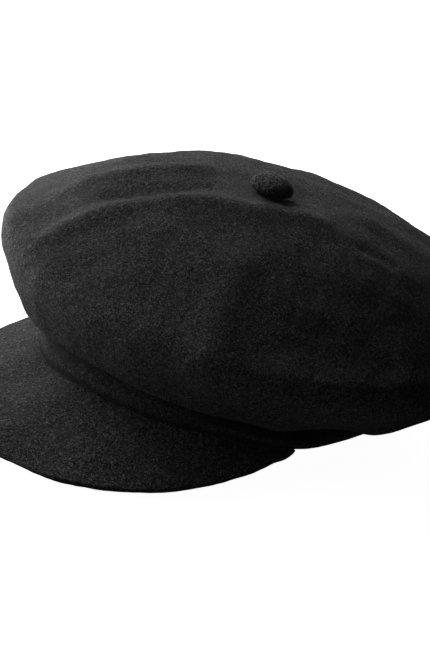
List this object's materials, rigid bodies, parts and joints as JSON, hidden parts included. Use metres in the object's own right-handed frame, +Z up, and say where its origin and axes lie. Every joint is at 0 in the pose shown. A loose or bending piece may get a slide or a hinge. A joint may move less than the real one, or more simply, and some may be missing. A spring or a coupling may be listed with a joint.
{
  "type": "newsboy cap",
  "caption": "Soft felt cap with a full blocked crown, a head band, a stiffened crescent visor at the front and a covered button on top.",
  "frame": {"origin": "middle of the cap's bounding box at the floor it rests on", "axes": "+Z up, -Y the way the wearer faces (the visor's side), +X the wearer's left; the cap lies as on a table, on the visor's rim and the back of the band, so its band is tipped 6.4 degrees"},
  "size_m": [0.2626, 0.324, 0.1213],
  "materials": {
    "wool_felt": "black milled wool felt, brushed and slightly fuzzy",
    "felt_underside": "black felt, flatter than the outside",
    "satin_lining": "black satin",
    "grosgrain": "black ribbed grosgrain ribbon",
    "cotton_tape": "black twill tape",
    "buckram": "stiffened open-weave buckram, unbleached",
    "visor_board": "matt flexible board",
    "tinned_steel": "thin tinned steel",
    "sewing_thread": "black waxed button thread",
    "label_ribbon": "blank white woven label"
  },
  "bodies": {
    "cap": {"crown_felt": "wool_felt", "crown_lining": "satin_lining", "crown_seam_tape": "cotton_tape", "band_felt": "wool_felt", "band_stiffener": "buckram", "visor_root_tape": "cotton_tape", "sweatband": "grosgrain", "sweatband_joint_tab": "grosgrain", "care_label": "label_ribbon", "button_thread": "sewing_thread", "button_anchor_disc": "felt_underside"},
    "visor": {"visor_top_felt": "wool_felt", "visor_board": "visor_board", "visor_under_felt": "felt_underside"},
    "button": {"button_felt": "wool_felt", "button_shell": "tinned_steel", "button_back_plate": "tinned_steel", "button_shank": "tinned_steel"}
  },
  "joints": [
    {"name": "visor_flex", "type": "hinge", "parent": "cap", "child": "visor", "pos_m": [0, -0.10274, 0.02181], "axis": [-1, 0, 0], "range_deg": [-6, 12], "stiffness_Nm_per_rad": 1.5},
    {"name": "button_twist", "type": "hinge", "parent": "cap", "child": "button", "pos_m": [0, 0.00837, 0.1108], "axis": [0, 0.1015, 0.9948], "range_deg": [-40, 40], "stiffness_Nm_per_rad": 0.002}
  ]
}
